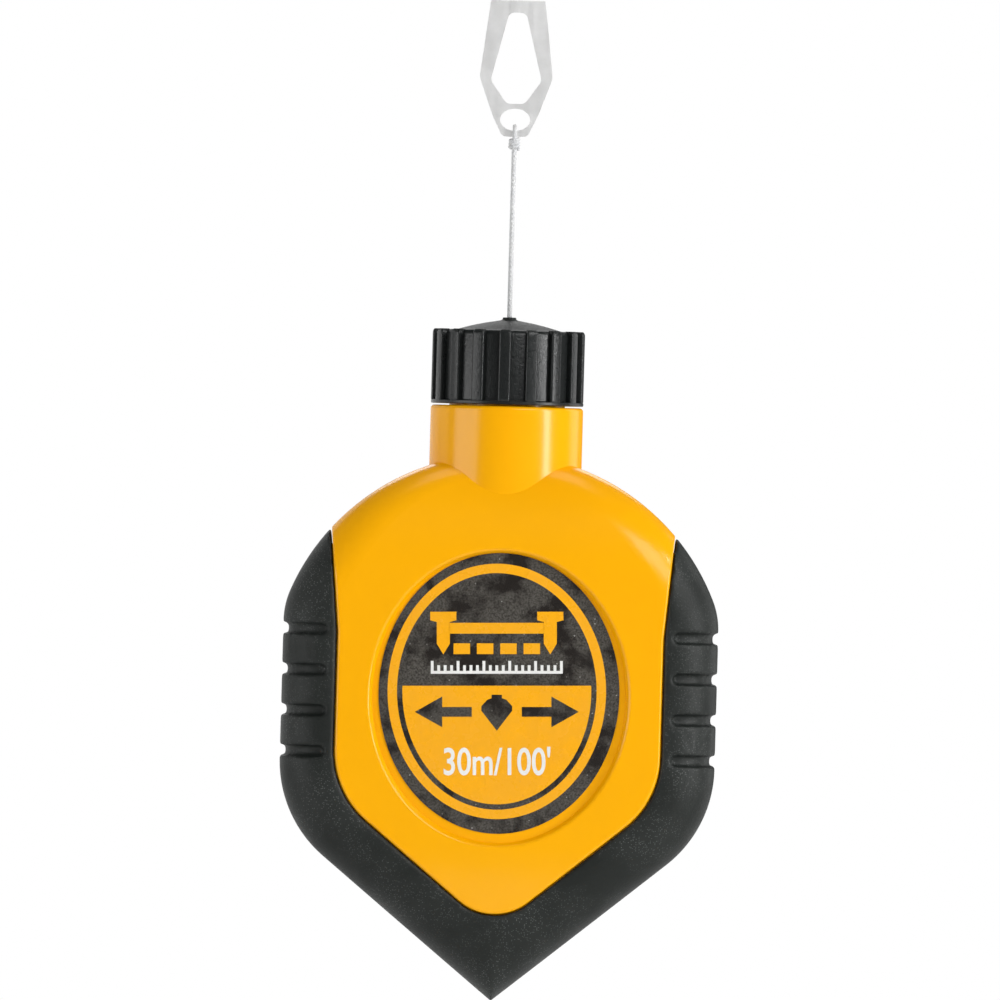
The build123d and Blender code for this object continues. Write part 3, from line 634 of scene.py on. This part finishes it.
def material(name):
    """One of the object's materials, made when it is first asked for."""
    if name not in made_materials:
        scene = bpy.context.scene
        casing, cap, label, line = scene.reel_casing, scene.reel_cap, scene.reel_label, scene.reel_line
        makers = {
            "amber": lambda: glossy_casing(casing.amber),
            "rubber": lambda: soft_rubber(casing.rubber, casing.dust),
            "cap": lambda: satin_plastic("cap_plastic", cap.plastic, 0.2, 0.42, 0.06),
            "cap_top": lambda: satin_plastic("cap_top_plastic", cap.plastic, 0.5, 0.68, 0.05),
            "crank": lambda: satin_plastic("crank_plastic", tones(cap.plastic, 0.25), 0.34, 0.55, 0.05),
            "spool": lambda: satin_plastic("spool_plastic", (0.42, 0.43, 0.43), 0.35, 0.5, 0.02),
            "seal": lambda: satin_plastic("seal_rubber", (0.02, 0.02, 0.02), 0.5, 0.65, 0.03),
            "ink": lambda: printed_film("label_black", label.ink, 0.2, 0.30),
            "print_amber": lambda: printed_film("label_amber", label.amber, 0.24, 0.04),
            "print_white": lambda: printed_film("label_white", label.white, 0.26, 0.06),
            "hook": lambda: plated_steel("hook_steel", line.steel, 0.42, (900.0, 900.0, 60.0), 0.72),
            "screw": lambda: plated_steel("screw_zinc", (0.55, 0.56, 0.58), 0.3, (500.0, 60.0, 500.0), 1.0),
            "fibre": lambda: woven_fibre("line_fibre", line.fibre, (0.50, 0.51, 0.54)),
            "felt": lambda: woven_fibre("wiper_felt", (0.55, 0.53, 0.47), (0.36, 0.35, 0.31)),
        }
        made_materials[name] = makers[name]()
    return made_materials[name]


def coat(obj, name):
    """Give an object one material."""
    obj.data.materials.clear()
    obj.data.materials.append(material(name))
    return obj


def coat_above(obj, name, height):
    """Give the faces above a height a second material."""
    obj.data.materials.append(material(name))
    for face in obj.data.polygons:
        if face.center.z > height:
            face.material_index = 1


def coat_nodes(name, *nodes):
    """Give CAD nodes one material."""
    for node in nodes:
        coat(frame["nodes"][node], name)


def settle(obj, body, material_name, slot_name, *nodes):
    """Finish a piece: its material, the body it rides on, and the CAD nodes it stands for. The slot name is
    not used.
    """
    coat(obj, material_name)
    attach(obj, body)
    if nodes:
        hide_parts(*nodes)
    return obj


# ---------------------------------------------------------------- label print


class Print:
    """Flat printed shapes on the label, drawn in mm from the label's middle and laid one film above it."""

    def __init__(self, layer):
        self.settings = bpy.context.scene.reel_label
        self.layer = layer
        self.work = bmesh.new()

    def place(self, across, up, deep):
        """A drawn point as a place on the label, tilted with the print."""
        tilt = self.settings.tilt
        x = across * math.cos(tilt) - up * math.sin(tilt)
        z = across * math.sin(tilt) + up * math.cos(tilt)
        middle = (LABEL_LOW + LABEL_HIGH) / 2
        front = LABEL_LOW.y - (self.layer + deep) * self.settings.film
        return Vector((middle.x + (x + PRINT_ACROSS) * MM, front, middle.z + (z + PRINT_UP) * MM))

    def shape(self, outline):
        """A filled shape with one film's thickness."""
        front = [self.work.verts.new(self.place(x, z, 1)) for x, z in outline]
        back = [self.work.verts.new(self.place(x, z, -0.5)) for x, z in outline]
        self.work.faces.new(front)
        self.work.faces.new(back[::-1])
        self.walls(front, back)

    def ring(self, outer, inner):
        """A band between two outlines with the same number of points."""
        loops = []
        for outline, deep in ((outer, 1), (outer, -0.5), (inner, 1), (inner, -0.5)):
            loops.append([self.work.verts.new(self.place(x, z, deep)) for x, z in outline])
        self.walls(loops[0], loops[1])
        self.walls(loops[2], loops[3])
        self.walls(loops[0], loops[2])
        self.walls(loops[1], loops[3])

    def walls(self, first, second):
        count = len(first)
        for i in range(count):
            nxt = (i + 1) % count
            self.work.faces.new((first[i], first[nxt], second[nxt], second[i]))

    def box(self, across, up, width, height):
        """An upright rectangle about a point."""
        w, h = width / 2, height / 2
        self.shape([(across - w, up - h), (across + w, up - h), (across + w, up + h), (across - w, up + h)])

    def text(self, words, up, height):
        """Upright figures, centred, with this height of a digit."""
        curve = bpy.data.curves.new("figures", "FONT")
        curve.body = words
        curve.align_x = "CENTER"
        curve.align_y = "CENTER"
        curve.size = height / DIGIT_SHARE
        curve.offset = BOLDER * curve.size
        holder = bpy.data.objects.new("figures", curve)
        flat = bpy.data.meshes.new_from_object(holder)
        bpy.data.objects.remove(holder)
        part = bmesh.new()
        part.from_mesh(flat)
        bmesh.ops.remove_doubles(part, verts=part.verts, dist=1e-5)
        made, under = (
            {v.index: self.work.verts.new(self.place(v.co.x * NARROW, v.co.y + up, deep)) for v in part.verts}
            for deep in (1, -0.5)
        )
        for face in part.faces:
            ids = [v.index for v in face.verts]
            self.work.faces.new([made[i] for i in ids])
            self.work.faces.new([under[i] for i in reversed(ids)])
        for edge in part.edges:
            if edge.is_boundary:
                a, b = (v.index for v in edge.verts)
                self.work.faces.new((made[a], made[b], under[b], under[a]))
        part.free()
        bpy.data.meshes.remove(flat)

    def finish(self, name, material_name):
        """The print as a piece on the casing."""
        bmesh.ops.recalc_face_normals(self.work, faces=self.work.faces)
        mesh = bpy.data.meshes.new(name)
        self.work.to_mesh(mesh)
        self.work.free()
        return settle(add_object(name, mesh), "casing", material_name, "label_film")


PRINT_ACROSS = -0.4  # the print's middle from the sticker's, mm
PRINT_UP = 0.35
DIGIT_SHARE = 0.70  # a digit's height in the font's size
BOLDER = 0.014  # how far the figures' outline is moved out
NARROW = 0.765  # the figures' width against the font's


def oval(a, b, low=None, steps=160):
    """An oval outline; with `low`, only what lies below that height."""
    if low is None:
        turns = [2 * math.pi * i / steps for i in range(steps)]
    else:
        start = math.asin(low / b)
        span = math.pi + 2 * start
        turns = [start - span * i / steps for i in range(steps + 1)]
    return [(a * math.cos(turn), b * math.sin(turn)) for turn in turns]


def nail(across):
    """An upright nail with its point down."""
    top, head, shaft = 14.0, 2.3, 1.15
    taper, point = 8.4, 6.5
    half = [(head, top), (head, top - 1.5), (shaft, top - 1.8), (shaft, taper), (0, point)]
    return [(across + x, z) for x, z in half] + [(across - x, z) for x, z in reversed(half[:-1])]


def draw_snapped_line(art):
    """A taut line between two nails, with the dashed mark that it leaves."""
    nails_apart, thick = 18.8, 1.9
    for side in (-0.5, 0.5):
        art.shape(nail(side * nails_apart))
    art.box(0, 11.1, nails_apart - 2.2, thick)
    dashes, pitch, dash = 4, 4.1, 2.9
    for i in range(dashes):
        art.box((i - (dashes - 1) / 2) * pitch, 7.5, dash, thick)


def draw_scale(art):
    """A short rule: a base line with long and short ticks."""
    ticks, pitch, thick = 21, 1.135, 0.5
    base = 3.6
    art.box(0, base - thick / 2, (ticks - 1) * pitch + thick, thick)
    for i in range(ticks):
        tall = 1.75 if i % 4 == 0 else 1.0
        art.box((i - (ticks - 1) / 2) * pitch, base + tall / 2, thick, tall)


def draw_bob_and_arrows(art):
    """A plumb bob between two arrows that point outwards."""
    bob = [(0, -6.9), (2.7, -3.4), (2.7, -2.6), (1.7, -1.5), (0.9, -1.2), (0.9, -0.6)]
    art.shape(bob + [(-x, z) for x, z in reversed(bob[1:])])
    middle, shaft, head = -3.6, 0.85, 2.7
    tail, neck, tip = 4.4, 9.6, 14.4
    upper = [(tail, shaft), (neck, shaft), (neck, head), (tip, 0)]
    arrow = upper + [(x, -z) for x, z in reversed(upper[:-1])]
    for side in (-1, 1):
        art.shape([(side * x, middle + z) for x, z in arrow])


# ---------------------------------------------------------------- operators


class REEL_OT_casing(bpy.types.Operator):
    """Casing shells in glossy amber plastic"""

    bl_idname = "reel.casing"
    bl_label = "Casing"

    def execute(self, context):
        coat_nodes("amber", "front_shell", "rear_shell")
        return {"FINISHED"}


class REEL_OT_grips(bpy.types.Operator):
    """Rubber grip bands, softened at every edge"""

    bl_idname = "reel.grips"
    bl_label = "Grips"

    def execute(self, context):
        voxel = context.scene.reel_casing.softness
        for side in ("front", "rear"):
            skin = softened(f"{side}_grip_skin", f"{side}_grip", voxel, 3)
            settle(skin, "casing", "rubber", "grip_rubber", f"{side}_grip")
        return {"FINISHED"}


CONE_H = 2.3  # the cap's sizes are in mm, and heights count from its lower rim
CONE = [(9.5, 0), (9.0, 0.10), (8.0, 0.40), (6.3, 0.86), (4.4, 1.28), (2.6, 1.60)]  # from the shoulder
BORE_R = 11.55
CEILING = 11.4
HOLE_R = 0.75  # for the line
NUB_R = 1.2  # the raised ring round the hole
COLLAR_R = 7.3  # the ring inside that holds the wiper's cup
COLLAR_WALL = 1.15
COLLAR_LIP_R = 5.35
COLLAR_LIP_TOP = 8.25
COLLAR_LOW = 7.7
THREAD_START = 2.4
THREAD_TURNS = 1.25
THREAD_PITCH = 4.0
THREAD_STEPS = 96  # round one turn


class REEL_OT_cap(bpy.types.Operator):
    """Screw cap with its ribs, cone, thread and wiper collar"""

    bl_idname = "reel.cap"
    bl_label = "Screw cap"

    def execute(self, context):
        cap = context.scene.reel_cap
        rim = CAP_HIGH.x / MM
        top = (CAP_HIGH.z - CAP_LOW.z) / MM
        shoulder = top - CONE_H
        floor = rim - cap.rib_depth / MM
        flange = cap.flange / MM
        profile = [(BORE_R, 0.1), (BORE_R + 0.1, 0), (rim - 0.15, 0), (rim, 0.12), (rim, flange - 0.12)]
        profile += [(rim - 0.15, flange), (floor + 0.1, flange), (floor, flange + 0.1)]
        profile += [(floor, shoulder - 0.9), (floor - 0.08, shoulder - 0.45)]
        profile += [(floor - 0.35, shoulder - 0.12), (floor - 0.8, shoulder)]
        profile += [(radius, shoulder + rise) for radius, rise in CONE]
        profile += [(NUB_R + 0.3, top - 0.5), (NUB_R, top - 0.3), (NUB_R, top - 0.12), (NUB_R - 0.12, top)]
        profile += [(HOLE_R + 0.1, top), (HOLE_R, top - 0.1), (HOLE_R, CEILING)]
        profile += [(BORE_R - 0.15, CEILING), (BORE_R, CEILING - 0.15)]
        skirt = fit_cap(lathe("cap_skirt", profile, CAP_LOW.z))
        inside = COLLAR_R - COLLAR_WALL
        collar = [(inside, COLLAR_LIP_TOP), (inside, CEILING + 0.1), (COLLAR_R, CEILING + 0.1)]
        collar += [(COLLAR_R, COLLAR_LOW), (COLLAR_LIP_R, COLLAR_LOW), (COLLAR_LIP_R, COLLAR_LIP_TOP)]
        fit_cap(lathe("cap_collar", collar, CAP_LOW.z))
        fit_cap(cap_thread("cap_thread"))
        values = {
            "Count": cap.ribs,
            "Radius": (floor - 0.5) * MM + cap.rib_depth / 2,
            "Width": cap.rib_width,
            "Depth": cap.rib_depth + 1.0 * MM,
            "Height": (shoulder - flange + 0.25) * MM,
            "Corner": cap.rib_corner,
            "Turn": cap.turn - math.pi / 2,
            "Base": CAP_LOW.z + (flange - 0.2) * MM,
            "Material": material("cap"),
        }
        ribs = fit_cap(sharpen(from_tree("cap_ribs", ribs_tree(), values), 40.0))
        for piece in (skirt, ribs):
            coat_above(piece, "cap_top", CAP_LOW.z + (shoulder - 0.2) * MM)
        return {"FINISHED"}


def fit_cap(obj):
    """One of the pieces that make up the cap."""
    return settle(obj, "cap", "cap", "cap_plastic", "screw_cap")


def cap_thread(name):
    """The ridge inside the cap that climbs the neck's thread, thinned out at both ends."""
    section = [(0.3, -0.9), (-0.9, -0.55), (-0.9, 0.55), (0.3, 0.9)]
    steps = round(THREAD_TURNS * THREAD_STEPS)
    climb = THREAD_PITCH * THREAD_TURNS
    vertices = []
    faces = []
    for i in range(steps + 1):
        share = i / steps
        turn = math.pi + 2 * math.pi * THREAD_TURNS * share
        fade = min(1.0, 12 * share + 0.1, 12 * (1 - share) + 0.1)
        for deep, high in section:
            r = (BORE_R + (deep if deep > 0 else deep * fade)) * MM
            z = CAP_LOW.z + (THREAD_START + climb * share + high) * MM
            vertices.append((r * math.cos(turn), r * math.sin(turn), z))
    for i in range(steps):
        for k in range(4):
            nxt = (k + 1) % 4
            faces.append((4 * i + k, 4 * i + nxt, 4 * i + 4 + nxt, 4 * i + 4 + k))
    faces += [(0, 1, 2, 3), tuple(4 * steps + k for k in (3, 2, 1, 0))]
    return sharpen(mesh_object(name, vertices, faces))


class REEL_OT_label(bpy.types.Operator):
    """Oval sticker with its rings, pictograms and length mark"""

    bl_idname = "reel.label"
    bl_label = "Label"

    def execute(self, context):
        label = context.scene.reel_label
        coat_nodes("ink", "front_label")
        ring_a, ring_b = 19.2, 22.45
        width = label.ring_width / MM
        field_in = width + 0.94
        field_a, field_b = ring_a - field_in, ring_b - field_in
        amber = Print(0)
        amber.ring(oval(ring_a, ring_b), oval(ring_a - width, ring_b - width))
        amber.shape(oval(field_a, field_b, low=1.0))
        draw_snapped_line(amber)
        amber.finish("label_amber_print", "print_amber")
        black = Print(1)
        draw_bob_and_arrows(black)
        black.finish("label_black_print", "ink")
        white = Print(0)
        draw_scale(white)
        white.finish("label_rule_print", "print_white")
        figures = Print(1)
        figures.text(label.length_mark, -12.6, 4.7)
        figures.finish("label_length_print", "print_white")
        return {"FINISHED"}


class REEL_OT_line(bpy.types.Operator):
    """Braided line: the taut stretch, its knot, the winding and the stretch inside"""

    bl_idname = "reel.line"
    bl_label = "Line"

    def execute(self, context):
        line = context.scene.reel_line
        radius = line.diameter / 2
        knot = KNOT_LOW.z + 1.1 * MM
        route = [Vector((0, 0, z)) for z in (LINE_LOW.z, knot - 6 * line.diameter, knot)]
        centre = evenly(spline_points(route), 0.14 * MM)
        taut = braided_tube("free_line", centre, radius, line.braid_pitch, line.strands)
        coat(taut, "fibre")
        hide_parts("line_free")
        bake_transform(taut)
        self.knot(line, radius)
        self.winding(line, radius)
        coat_nodes("fibre", "line_inner")
        return {"FINISHED"}

    def knot(self, line, radius):
        """Three turns round the line under a loop through the hook's eye."""
        thread = radius * 0.86
        low = KNOT_LOW.z + thread
        turns, coil_r, rise = 3, 0.70 * MM, 1.65 * MM
        steps = turns * 36
        coil = []
        for i in range(steps + 1):
            turn = 2 * math.pi * turns * i / steps
            coil.append(Vector((coil_r * math.cos(turn), coil_r * math.sin(turn), low + rise * i / steps)))
        turned = braided_tube("line_knot_coil", coil, thread, line.braid_pitch, line.strands, 12)
        settle(turned, "line_end", "fibre", "braided_line", "line_knot")
        swing = HINGES["hook_swing"]
        reach = KNOT_HIGH.z - swing.z - thread
        loop = []
        swept, steps = 130, 48
        for i in range(steps + 1):
            turn = math.radians(-swept + 2 * swept * i / steps)
            loop.append(swing + Vector((0, reach * math.sin(turn), reach * math.cos(turn))))
        ends = [Vector((0, s * 0.3 * MM, low + 1.4 * MM)) for s in (-1, 1)]
        loop = [ends[0], *loop, ends[1]]
        eye = braided_tube("line_eye_loop", loop, thread, line.braid_pitch, line.strands, 12)
        settle(eye, "line_end", "fibre", "braided_line", "line_knot")

    def winding(self, line, radius):
        """The top layer of turns over a solid core."""
        outer = WINDING_HIGH.x
        width = WINDING_HIGH.y - WINDING_LOW.y
        middle = HINGES["reel_spin"]
        values = {
            "Turns": (width - line.diameter) / (line.diameter * 1.03),
            "Radius": outer - radius,
            "Width": width - line.diameter,
            "Line Radius": radius,
            "Centre": (middle.x, WINDING_LOW.y + radius, middle.z),
            "Material": material("fibre"),
        }
        turns = from_tree("line_turns", winding_tree(), values)
        settle(turns, "reel", "fibre", "braided_line", "line_winding")
        core_r = (outer - 1.6 * radius) / MM
        inner_r = 8.05
        half = width / 2 / MM
        profile = [(inner_r, -half), (core_r, -half), (core_r, half), (inner_r, half)]
        core = lathe("line_core", profile, 0.0, 96)
        lay_on_reel = Matrix.Translation(Vector((middle.x, (WINDING_LOW.y + WINDING_HIGH.y) / 2, middle.z)))
        core.data.transform(lay_on_reel @ Matrix.Rotation(math.pi / 2, 4, "X"))
        settle(core, "reel", "fibre", "braided_line", "line_winding")


def spline_points(route):
    """The smooth line that a route's control points give."""
    curve = bpy.data.curves.new("route", "CURVE")
    curve.dimensions = "3D"
    spline = curve.splines.new("NURBS")
    spline.points.add(len(route) - 1)
    for point, place in zip(spline.points, route):
        point.co = (*place, 1.0)
    spline.order_u = 3
    spline.use_endpoint_u = True
    holder = bpy.data.objects.new("route", curve)
    mesh = bpy.data.meshes.new_from_object(holder)
    points = [v.co.copy() for v in mesh.vertices]
    bpy.data.objects.remove(holder)
    bpy.data.curves.remove(curve)
    bpy.data.meshes.remove(mesh)
    return points


class REEL_OT_hook(bpy.types.Operator):
    """Stamped steel hook"""

    bl_idname = "reel.hook"
    bl_label = "Hook"

    def execute(self, context):
        coat_nodes("hook", "hook")
        return {"FINISHED"}


class REEL_OT_crank(bpy.types.Operator):
    """Folding crank with its hub, pins and knob"""

    bl_idname = "reel.crank"
    bl_label = "Crank"

    def execute(self, context):
        coat_nodes("crank", "crank_hub", "crank_arm", "crank_knob")
        coat_nodes("screw", "crank_screw", "hub_washer", "fold_pin", "knob_pin")
        return {"FINISHED"}


class REEL_OT_inside(bpy.types.Operator):
    """Spool, wiper, seals and casing screws"""

    bl_idname = "reel.inside"
    bl_label = "Inner parts and screws"

    def execute(self, context):
        coat_nodes("spool", "spool", "wiper_retainer")
        coat_nodes("felt", "felt_wiper", "hub_seal")
        coat_nodes("seal", "cap_gasket")
        coat_nodes("screw", "casing_screws")
        return {"FINISHED"}


class REEL_OT_stage(bpy.types.Operator):
    """Camera, pale floor and soft studio light"""

    bl_idname = "reel.stage"
    bl_label = "Stage"

    def execute(self, context):
        stage = context.scene.reel_stage
        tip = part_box("front_grip")[0].z
        target = Vector((stage.view_across, 0, tip + stage.view_height))
        self.camera(context, stage, target)
        self.floor(stage, tip)
        self.lights(target)
        self.world(context)
        return {"FINISHED"}

    def camera(self, context, stage, target):
        data = bpy.data.cameras.new("camera")
        data.lens = data.sensor_width * stage.distance / stage.view_width
        data.clip_start = 0.01
        data.clip_end = 20.0
        camera = add_object("camera", data)
        camera.location = target - Vector((0, stage.distance, 0))
        upright = Matrix.Rotation(math.pi / 2, 4, "X")
        camera.rotation_euler = (upright @ Matrix.Rotation(stage.roll, 4, "Z")).to_euler()
        context.scene.camera = camera

    def floor(self, stage, tip):
        work = bmesh.new()
        bmesh.ops.create_circle(work, cap_ends=True, segments=128, radius=stage.floor_radius)
        mesh = bpy.data.meshes.new("floor")
        work.to_mesh(mesh)
        work.free()
        floor = add_object("floor", mesh)
        floor.location.z = tip - stage.floor_drop
        pale = bpy.data.materials.new("pale_floor")
        pale.use_nodes = True
        shader = pale.node_tree.nodes["Principled BSDF"]
        looks = {"Base Color": (0.82, 0.82, 0.82, 1), "Roughness": 0.9}
        looks |= {"Emission Color": (1, 1, 1, 1), "Emission Strength": 0.22}
        for key, value in looks.items():
            shader.inputs[key].default_value = value
        mesh.materials.append(pale)

    def lights(self, target):
        """Soft sources, each with its place, size and watts, that face the view's middle."""
        sources = [
            ("key", (0.55, -0.95, 0.55), (0.7, 0.5), 5.7),
            ("low_fill", (-0.85, -0.85, -0.50), (0.7, 0.4), 8.4),
            ("left_softbox", (-1.0, -0.5, -0.30), (0.9, 1.2), 12.5),
            ("right_strip", (0.85, -0.42, 0.05), (0.16, 1.1), 9.6),
            ("top_softbox", (0.0, 0.1, 1.0), (0.5, 0.5), 1.4),
            ("back_left", (-0.9, 0.30, 0.2), (0.4, 0.8), 0.9),
            ("back_right", (0.7, 0.5, 0.1), (0.4, 0.8), 1.6),
            ("back_top", (0.0, 0.9, 0.5), (0.6, 0.3), 1.8),
            ("back_key", (-0.45, 0.95, 0.1), (1.3, 1.1), 4.0),
        ]
        for name, offset, size, watts in sources:
            data = bpy.data.lights.new(name, "AREA")
            data.shape = "RECTANGLE"
            data.size, data.size_y = size
            data.energy = watts
            light = add_object(name, data)
            light.location = target + Vector(offset)
            light.rotation_euler = (-Vector(offset)).to_track_quat("-Z", "Y").to_euler()

    def world(self, context):
        world = bpy.data.worlds.new("studio")
        world.use_nodes = True
        tree = world.node_tree
        background = tree.nodes["Background"]
        background.inputs["Color"].default_value = (1, 1, 1, 1)
        seen = tree.nodes.new("ShaderNodeLightPath").outputs["Is Camera Ray"]
        strength = spread_value(tree, seen, 0.12, 1.0)
        tree.links.new(strength, background.inputs["Strength"])
        context.scene.world = world
        context.scene.view_settings.view_transform = "Standard"


class REEL_PT_panel(bpy.types.Panel):
    """The reel's settings and the operators that build it"""

    bl_idname = "REEL_PT_panel"
    bl_label = "Chalk Line Reel"
    bl_space_type = "VIEW_3D"
    bl_region_type = "UI"
    bl_category = "Reel"

    def draw(self, context):
        for settings in (getattr(context.scene, name) for name in SETTINGS):
            box = self.layout.box()
            for key in settings.__annotations__:
                box.prop(settings, key)
        for operator in OPERATORS:
            self.layout.operator(operator.bl_idname)


SETTINGS = {
    "reel_casing": CasingSettings,
    "reel_cap": CapSettings,
    "reel_label": LabelSettings,
    "reel_line": LineSettings,
    "reel_stage": StageSettings,
}
OPERATORS = [
    REEL_OT_stage,
    REEL_OT_line,
    REEL_OT_casing,
    REEL_OT_grips,
    REEL_OT_cap,
    REEL_OT_label,
    REEL_OT_hook,
    REEL_OT_crank,
    REEL_OT_inside,
]


def register():
    for cls in [*SETTINGS.values(), *OPERATORS, REEL_PT_panel]:
        bpy.utils.register_class(cls)
    for name, cls in SETTINGS.items():
        setattr(bpy.types.Scene, name, PointerProperty(type=cls))


def unregister():
    for name in SETTINGS:
        delattr(bpy.types.Scene, name)
    for cls in [REEL_PT_panel, *reversed(OPERATORS), *reversed(list(SETTINGS.values()))]:
        bpy.utils.unregister_class(cls)


def main():
    register()
    bpy.ops.reel.stage()
    bpy.ops.reel.line()
    bpy.ops.reel.casing()
    bpy.ops.reel.grips()
    bpy.ops.reel.cap()
    bpy.ops.reel.label()
    bpy.ops.reel.hook()
    bpy.ops.reel.crank()
    bpy.ops.reel.inside()


if __name__ == "__main__":
    main()
